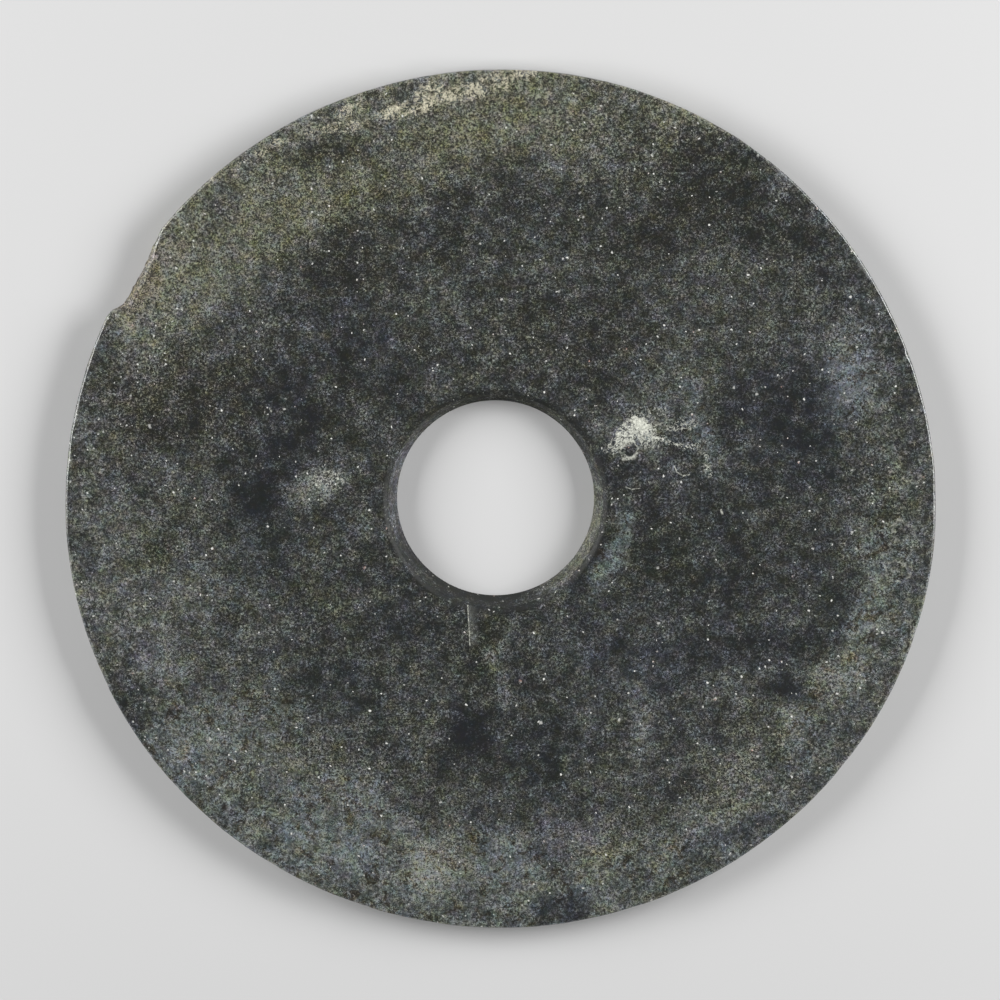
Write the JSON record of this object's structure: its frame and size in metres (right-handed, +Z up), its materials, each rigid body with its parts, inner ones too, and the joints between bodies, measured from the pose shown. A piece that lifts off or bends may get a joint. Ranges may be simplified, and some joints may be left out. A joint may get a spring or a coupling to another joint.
{
  "type": "jade bi disc",
  "caption": "Plain flat stone disc with a tapered round hole at its middle, rounded edges and a shallow loss in its rim.",
  "frame": {"origin": "middle of the flat underside, where the disc rests as it lies", "axes": "+Z up through the disc, out of the face that the hole was drilled from; +Y points from the saw mark beside the hole towards the hole's centre, and the loss in the rim is between +Y and -X"},
  "size_m": [0.2004, 0.1994, 0.006],
  "materials": {
    "jade": "dark grey-green nephrite, mottled olive, blue-grey and near black with fine pale specks, satin polish"
  },
  "bodies": {
    "root": {"bi_disc": "jade"}
  },
  "joints": []
}
